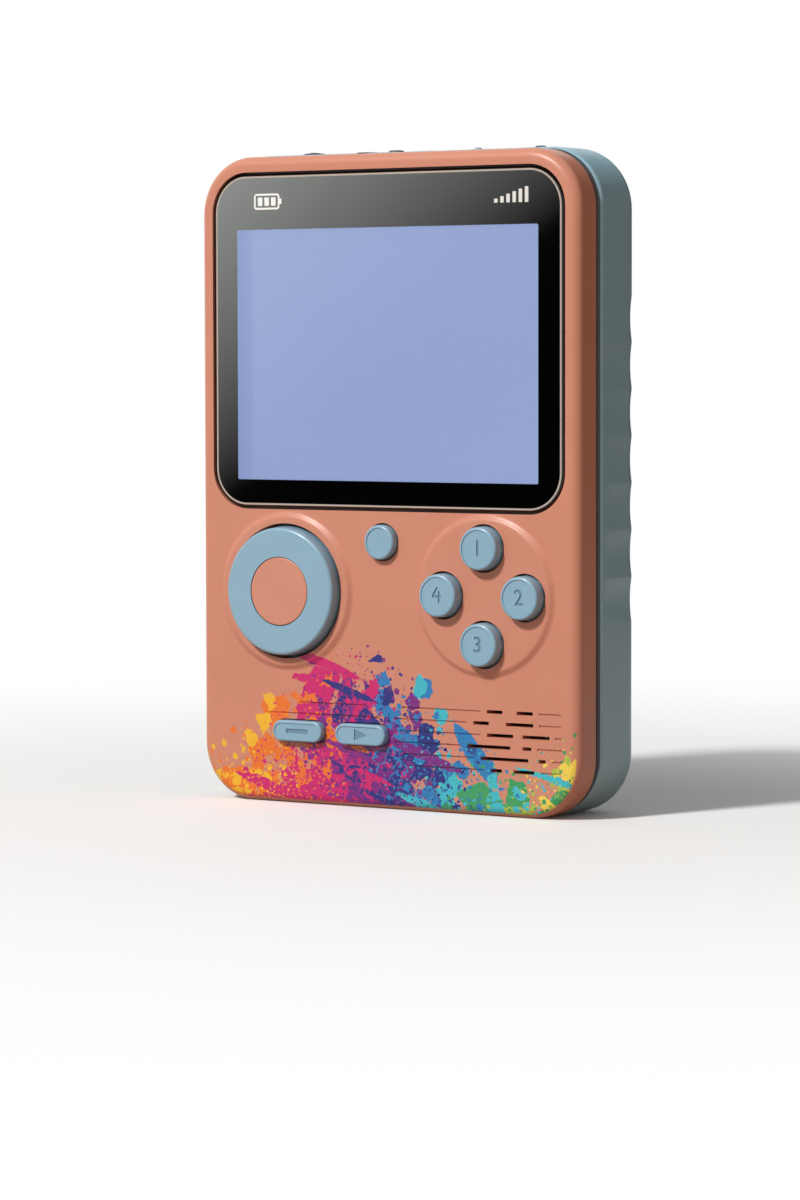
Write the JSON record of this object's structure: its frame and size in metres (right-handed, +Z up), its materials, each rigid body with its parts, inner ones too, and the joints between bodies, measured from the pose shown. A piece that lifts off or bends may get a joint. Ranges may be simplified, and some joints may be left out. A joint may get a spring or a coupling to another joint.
{
  "type": "handheld game console",
  "caption": "Pocket game console: two-shell case with a colour screen, rocking direction pad, push buttons, volume wheel, power slider and a rear battery door.",
  "frame": {"origin": "centre of the bounding box at the bottom edge on which the console stands", "axes": "+X to the player's right, +Y from the screen side to the battery side, +Z up the screen"},
  "size_m": [0.0808, 0.0228, 0.1168],
  "materials": {
    "front_shell_plastic": "salmon moulded plastic with a printed lower face",
    "rear_shell_plastic": "light blue moulded plastic",
    "door_plastic": "light blue moulded plastic",
    "lens_acrylic": "clear acrylic with a black printed border",
    "tape": "black double-sided tape",
    "gasket_foam": "black foam",
    "lcd_glass": "display glass showing a plain lit screen",
    "backlight": "white light guide",
    "lcd_steel": "pressed steel",
    "flex_film": "amber film",
    "foam_tape": "foam tape",
    "button_plastic": "light blue plastic",
    "cap_plastic": "salmon plastic",
    "pivot_plastic": "natural plastic",
    "keypad_silicone": "grey silicone",
    "gold_contacts": "gold plate",
    "board_laminate": "green solder mask",
    "chip_epoxy": "black epoxy",
    "capacitor_can": "aluminium cans",
    "pot_body": "black plastic",
    "wheel_plastic": "black plastic",
    "switch_steel": "pressed steel",
    "slider_plastic": "black plastic",
    "jack_plastic": "black plastic",
    "port_steel": "folded steel",
    "light_pipe_plastic": "tinted clear plastic",
    "reset_plastic": "black plastic",
    "tact_body": "black plastic",
    "speaker_steel": "plated steel",
    "cone_film": "black film",
    "magnet_steel": "plated magnet",
    "speaker_foam": "black foam",
    "lead_insulation": "red and black insulation",
    "battery_wrap": "dark blue wrap",
    "terminal_metal": "plated spring strip",
    "screw_steel": "zinc-plated steel"
  },
  "bodies": {
    "case": {"front_shell": "front_shell_plastic", "rear_shell": "rear_shell_plastic", "screen_lens": "lens_acrylic", "lens_tape": "tape", "lcd_gasket": "gasket_foam", "lcd_panel": "lcd_glass", "lcd_backlight": "backlight", "lcd_frame": "lcd_steel", "lcd_flex_cable": "flex_film", "lcd_tape_strips": "foam_tape", "pad_keypad": "keypad_silicone", "cluster_keypad": "keypad_silicone", "menu_round_keypad": "keypad_silicone", "menu_pill_keypad": "keypad_silicone", "key_contacts": "gold_contacts", "main_board": "board_laminate", "board_chips": "chip_epoxy", "board_capacitors": "capacitor_can", "volume_pot": "pot_body", "power_switch": "switch_steel", "av_jack": "jack_plastic", "charge_port": "port_steel", "player_two_port": "port_steel", "power_light_pipe": "light_pipe_plastic", "reset_switch": "tact_body", "speaker_frame": "speaker_steel", "speaker_cone": "cone_film", "speaker_magnet": "magnet_steel", "speaker_gasket": "speaker_foam", "speaker_leads": "lead_insulation", "battery": "battery_wrap", "battery_terminals": "terminal_metal", "case_screws": "screw_steel", "board_screws": "screw_steel"},
    "pad_ball": {"pad_pivot_ball": "pivot_plastic"},
    "pad_rocker": {"direction_pad": "button_plastic", "pad_centre_cap": "cap_plastic"},
    "top_button": {"face_button_top": "button_plastic"},
    "right_button": {"face_button_right": "button_plastic"},
    "bottom_button": {"face_button_bottom": "button_plastic"},
    "left_button": {"face_button_left": "button_plastic"},
    "round_menu_button": {"menu_round_button": "button_plastic"},
    "left_menu_button": {"menu_left_button": "button_plastic"},
    "right_menu_button": {"menu_right_button": "button_plastic"},
    "wheel": {"volume_wheel": "wheel_plastic"},
    "slider": {"power_slider": "slider_plastic"},
    "reset": {"reset_button": "reset_plastic"},
    "door": {"battery_door": "door_plastic"}
  },
  "joints": [
    {"name": "pad_tilt_up_down", "type": "hinge", "parent": "case", "child": "pad_ball", "pos_m": [-0.0211, -0.00451, 0.0382], "axis": [1, 0, 0], "range_deg": [-3, 3], "stiffness_Nm_per_rad": 0.2, "deforming": ["pad_keypad"]},
    {"name": "pad_tilt_left_right", "type": "hinge", "parent": "pad_ball", "child": "pad_rocker", "pos_m": [-0.0211, -0.00451, 0.0382], "axis": [0, 0, 1], "range_deg": [-3, 3], "stiffness_Nm_per_rad": 0.2, "deforming": ["pad_keypad"]},
    {"name": "top_button_press", "type": "slide", "parent": "case", "child": "top_button", "axis": [0, 1, 0], "range_m": [0, 0.0012], "stiffness_N_per_m": 600, "deforming": ["cluster_keypad"]},
    {"name": "right_button_press", "type": "slide", "parent": "case", "child": "right_button", "axis": [0, 1, 0], "range_m": [0, 0.0012], "stiffness_N_per_m": 600, "deforming": ["cluster_keypad"]},
    {"name": "bottom_button_press", "type": "slide", "parent": "case", "child": "bottom_button", "axis": [0, 1, 0], "range_m": [0, 0.0012], "stiffness_N_per_m": 600, "deforming": ["cluster_keypad"]},
    {"name": "left_button_press", "type": "slide", "parent": "case", "child": "left_button", "axis": [0, 1, 0], "range_m": [0, 0.0012], "stiffness_N_per_m": 600, "deforming": ["cluster_keypad"]},
    {"name": "round_menu_press", "type": "slide", "parent": "case", "child": "round_menu_button", "axis": [0, 1, 0], "range_m": [0, 0.001], "stiffness_N_per_m": 600, "deforming": ["menu_round_keypad"]},
    {"name": "left_menu_press", "type": "slide", "parent": "case", "child": "left_menu_button", "axis": [0, 1, 0], "range_m": [0, 0.001], "stiffness_N_per_m": 600, "deforming": ["menu_pill_keypad"]},
    {"name": "right_menu_press", "type": "slide", "parent": "case", "child": "right_menu_button", "axis": [0, 1, 0], "range_m": [0, 0.001], "stiffness_N_per_m": 600, "deforming": ["menu_pill_keypad"]},
    {"name": "volume_turn", "type": "hinge", "parent": "case", "child": "wheel", "pos_m": [-0.0209, 0.00045, 0.1098], "axis": [0, 1, 0], "range_deg": [-135, 135]},
    {"name": "power_slide", "type": "slide", "parent": "case", "child": "slider", "axis": [1, 0, 0], "range_m": [0, 0.003]},
    {"name": "reset_press", "type": "slide", "parent": "case", "child": "reset", "axis": [0, 0, -1], "range_m": [0, 0.0003], "stiffness_N_per_m": 1500},
    {"name": "door_swing", "type": "hinge", "parent": "case", "child": "door", "pos_m": [0, 0.01135, 0.0225], "axis": [-1, 0, 0], "range_deg": [0, 75]}
  ]
}
